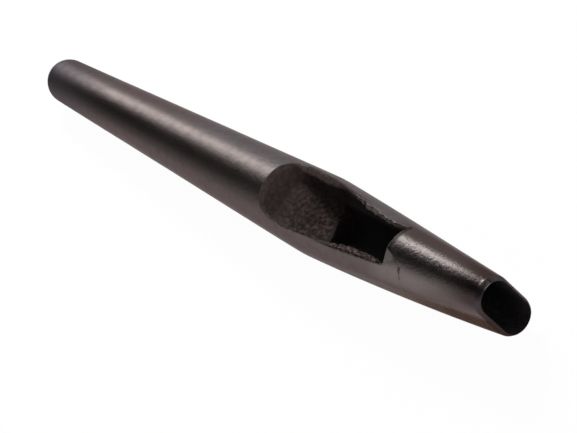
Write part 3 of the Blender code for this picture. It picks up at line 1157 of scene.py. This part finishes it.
def forge(piece, tree, material):
    """Run the tree on a piece, keep the result as a plain mesh, and lay it on the table."""
    modifier = piece.modifiers.new("forge", 'NODES')
    modifier.node_group = tree
    for socket in tree.interface.items_tree:
        if socket.name in SETTINGS:
            modifier[socket.identifier] = SETTINGS[socket.name]
        elif socket.name == "Steel":
            modifier[socket.identifier] = material
    graph = bpy.context.evaluated_depsgraph_get()
    mesh = bpy.data.meshes.new_from_object(piece.evaluated_get(graph), depsgraph=graph)
    piece.modifiers.clear()
    piece.data = mesh
    mesh.transform(TOOL_TO_TABLE)
    for point in mesh.vertices:
        point.co.z = max(point.co.z, 0.0)
    mesh.shade_smooth()


tree = forging_tree()
forge(body, tree, steel)
print(body.name, "forged with", len(tree.nodes), "nodes into", len(body.data.polygons), "faces")

# %% [markdown]
# ## Paper, tent and lamp
# The tool lies on white paper that glows white to the camera and to the steel, and keeps a trace of
# the tool's shadow. It ends a little behind the head. The world is a white tent with a dark ceiling
# and one dark gap behind the tool's head: polished steel needs something dark to reflect.
# A softbox beside the gap makes the long highlight. A key lamp that reflections don't show lights
# what is matt, above all the scale in the pocket.

# %% Paper
PAPER_SIZE = 3.0
PAPER_END_X = -0.13
PAPER_WHITE = (0.82, 0.82, 0.82, 1.0)
PAPER_ROUGHNESS = 0.9
CAMERA_SHADE = 0.03
MIRROR_SHADE = 0.15


def glow_share(tree):
    """How white the paper looks to a ray from the camera, or by reflection or through glass."""
    path = tree.nodes.new("ShaderNodeLightPath")
    seen = Field(path.outputs["Is Camera Ray"])
    glossy = Field(path.outputs["Is Glossy Ray"])
    through = Field(path.outputs["Is Transmission Ray"])
    return (seen * (1 - CAMERA_SHADE)).at_least(glossy.at_least(through) * (1 - MIRROR_SHADE))


def white_paper():
    material, tree, matt = new_material("white_paper")
    matt.inputs["Base Color"].default_value = PAPER_WHITE
    matt.inputs["Roughness"].default_value = PAPER_ROUGHNESS
    glow = new_node(tree, "ShaderNodeEmission", Strength=1.0)
    mix = new_node(tree, "ShaderNodeMixShader")
    feed(mix.inputs[0], glow_share(tree))
    tree.links.new(matt.outputs[0], mix.inputs[1])
    tree.links.new(glow.outputs[0], mix.inputs[2])
    tree.links.new(mix.outputs[0], tree.nodes["Material Output"].inputs["Surface"])
    return material


def lay_paper():
    mesh = bpy.data.meshes.new("paper_floor")
    half = PAPER_SIZE / 2
    corners = [(PAPER_END_X, -half, 0), (half, -half, 0), (half, half, 0), (PAPER_END_X, half, 0)]
    mesh.from_pydata(corners, [], [(0, 1, 2, 3)])
    mesh.materials.append(white_paper())
    paper = add_to_scene("paper_floor", mesh)


lay_paper()
print("paper laid")

# %% Tent and lamp
WALL_STRENGTH = 1.0
CEILING_STRENGTH = 0.1
CEILING_FROM = 10
CEILING_TO = 60
GAP_STRENGTH = 0.03
GAP_AZIMUTH = -172
GAP_INNER = 18
GAP_OUTER = 30
GAP_TAPER = 0.1
LAMP_AZIMUTH = 156.5
LAMP_HEIGHT = 28.6
LAMP_ROLL = 51.5
LAMP_DISTANCE = 0.7
LAMP_SIZE = (0.20, 0.57)
LAMP_WATTS = 1.95
LAMP_COLOUR = (0.94, 1.0, 0.98)
KEY_AZIMUTH = 128
KEY_HEIGHT = 47
KEY_SIZE = (0.15, 0.15)
KEY_WATTS = 4.5


def direction(azimuth, height):
    """A unit vector towards a place in the room, from degrees."""
    azimuth, height = math.radians(azimuth), math.radians(height)
    level = math.cos(height)
    return Vector((math.cos(azimuth) * level, math.sin(azimuth) * level, math.sin(height)))


def raise_tent():
    world = bpy.data.worlds.new("white_tent")
    bpy.context.scene.world = world
    world.use_nodes = True
    tree = world.node_tree
    way = field_from(tree, "ShaderNodeTexCoord", output="Generated")
    x, y, z = axes(tree, way)
    gap = direction(GAP_AZIMUTH, 0)
    closeness = (x * gap.x + y * gap.y) / (x * x + y * y + z * z * GAP_TAPER) ** 0.5
    dark = step_up(closeness, math.cos(math.radians(GAP_OUTER)), math.cos(math.radians(GAP_INNER)))
    ceiling = step_up(z, math.sin(math.radians(CEILING_FROM)), math.sin(math.radians(CEILING_TO)))
    tent = blend(blend(WALL_STRENGTH, CEILING_STRENGTH, ceiling), GAP_STRENGTH, dark)
    eye = field_from(tree, "ShaderNodeLightPath", output="Is Camera Ray")
    feed(tree.nodes["Background"].inputs["Strength"], tent.at_least(eye))
    tree.nodes["Background"].inputs["Color"].default_value = (1, 1, 1, 1)


def hang_lamp(name, azimuth, height, size, watts):
    lamp = bpy.data.lights.new(name, 'AREA')
    lamp.shape = 'RECTANGLE'
    lamp.size, lamp.size_y = size
    lamp.energy = watts
    box = add_to_scene(name, lamp)
    way = direction(azimuth, height)
    turn = (-way).to_track_quat('-Z', 'Y') @ Quaternion((0, 0, 1), math.radians(LAMP_ROLL))
    box.location = way * LAMP_DISTANCE
    box.rotation_euler = turn.to_euler()
    return box


raise_tent()
hang_lamp("softbox", LAMP_AZIMUTH, LAMP_HEIGHT, LAMP_SIZE, LAMP_WATTS).data.color = LAMP_COLOUR
hang_lamp("key", KEY_AZIMUTH, KEY_HEIGHT, KEY_SIZE, KEY_WATTS).visible_glossy = False
bpy.context.scene.view_settings.view_transform = 'Standard'
print("tent raised, softbox and key lamp hung")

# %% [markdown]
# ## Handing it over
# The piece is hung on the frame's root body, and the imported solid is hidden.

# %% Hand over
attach(body, "root")
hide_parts("punch_body")
